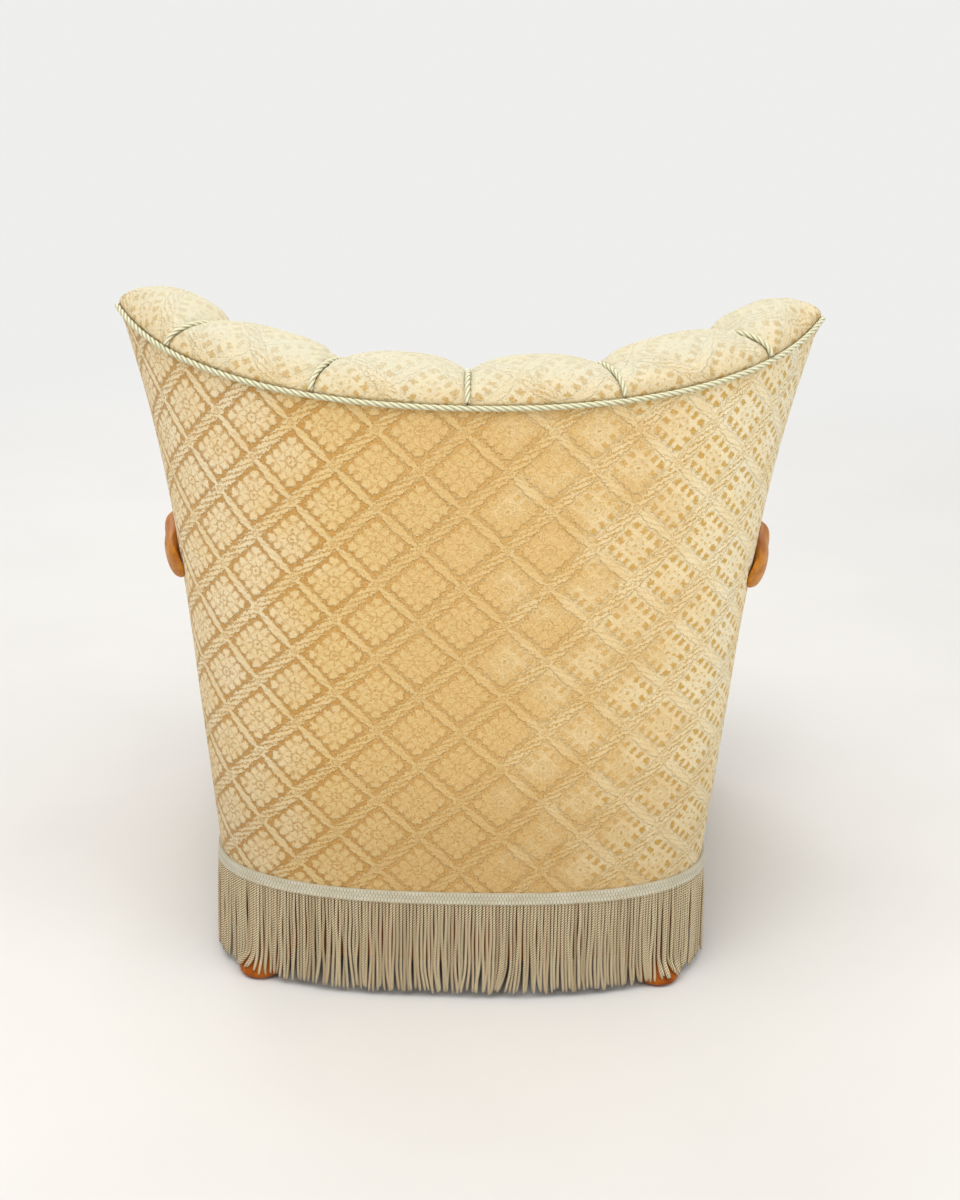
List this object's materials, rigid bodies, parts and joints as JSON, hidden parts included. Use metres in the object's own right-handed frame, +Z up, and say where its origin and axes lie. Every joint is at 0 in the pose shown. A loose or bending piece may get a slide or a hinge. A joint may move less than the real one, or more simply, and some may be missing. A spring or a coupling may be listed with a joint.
{
  "type": "upholstered armchair",
  "caption": "Low fully upholstered armchair with a wrap-round channelled back, rounded show-wood arms, a sprung seat and a fringed base on short turned feet.",
  "frame": {"origin": "on the floor, at the middle of the chair's footprint box", "axes": "+Z up, -Y the way the sitter faces, +X the sitter's left; the chair is symmetric about X = 0"},
  "size_m": [0.802, 0.8076, 0.8087],
  "materials": {
    "stained_wood": "glossy orange-brown stained beech",
    "raw_wood": "unfinished beech",
    "velvet": "cut velvet with a diagonal lattice of florets, golden ground and pale pile",
    "velvet_channels": "the same cut velvet over stuffed channels",
    "cord": "twisted cord, pale green-grey",
    "fringe": "bullion fringe of twisted strands with a woven head",
    "canvas": "hessian",
    "webbing": "jute webbing",
    "black_cloth": "black dust cloth",
    "spring_steel": "plain wire",
    "glide_steel": "pressed nail-on glide"
  },
  "bodies": {
    "root": {"rear_rail": "stained_wood", "front_rail": "stained_wood", "side_rail_left": "stained_wood", "side_rail_right": "stained_wood", "corner_blocks": "raw_wood", "foot_rear_left": "stained_wood", "foot_rear_right": "stained_wood", "foot_front_left": "stained_wood", "foot_front_right": "stained_wood", "glides": "glide_steel", "seat_webbing": "webbing", "dust_cover": "black_cloth", "seat_springs": "spring_steel", "spring_canvas": "canvas", "seat_edge_wire": "spring_steel", "seat_cushion": "velvet", "seat_border": "velvet", "seat_border_lining": "canvas", "seat_cord": "cord", "back_stile_left": "raw_wood", "back_stile_right": "raw_wood", "wing_post_left": "raw_wood", "wing_post_right": "raw_wood", "back_top_rail": "raw_wood", "back_mid_rail": "raw_wood", "arm_rail_left": "raw_wood", "arm_rail_right": "raw_wood", "arm_uprights": "raw_wood", "back_webbing": "webbing", "back_lining": "canvas", "channel_1": "velvet_channels", "channel_2": "velvet_channels", "channel_3": "velvet_channels", "channel_4": "velvet_channels", "channel_5": "velvet_channels", "channel_6": "velvet_channels", "outer_back_cover": "velvet", "top_cord": "cord", "channel_cords": "cord", "fringe": "fringe", "arm_left": "stained_wood", "arm_right": "stained_wood", "arm_post_left": "stained_wood", "arm_post_right": "stained_wood"}
  },
  "joints": []
}
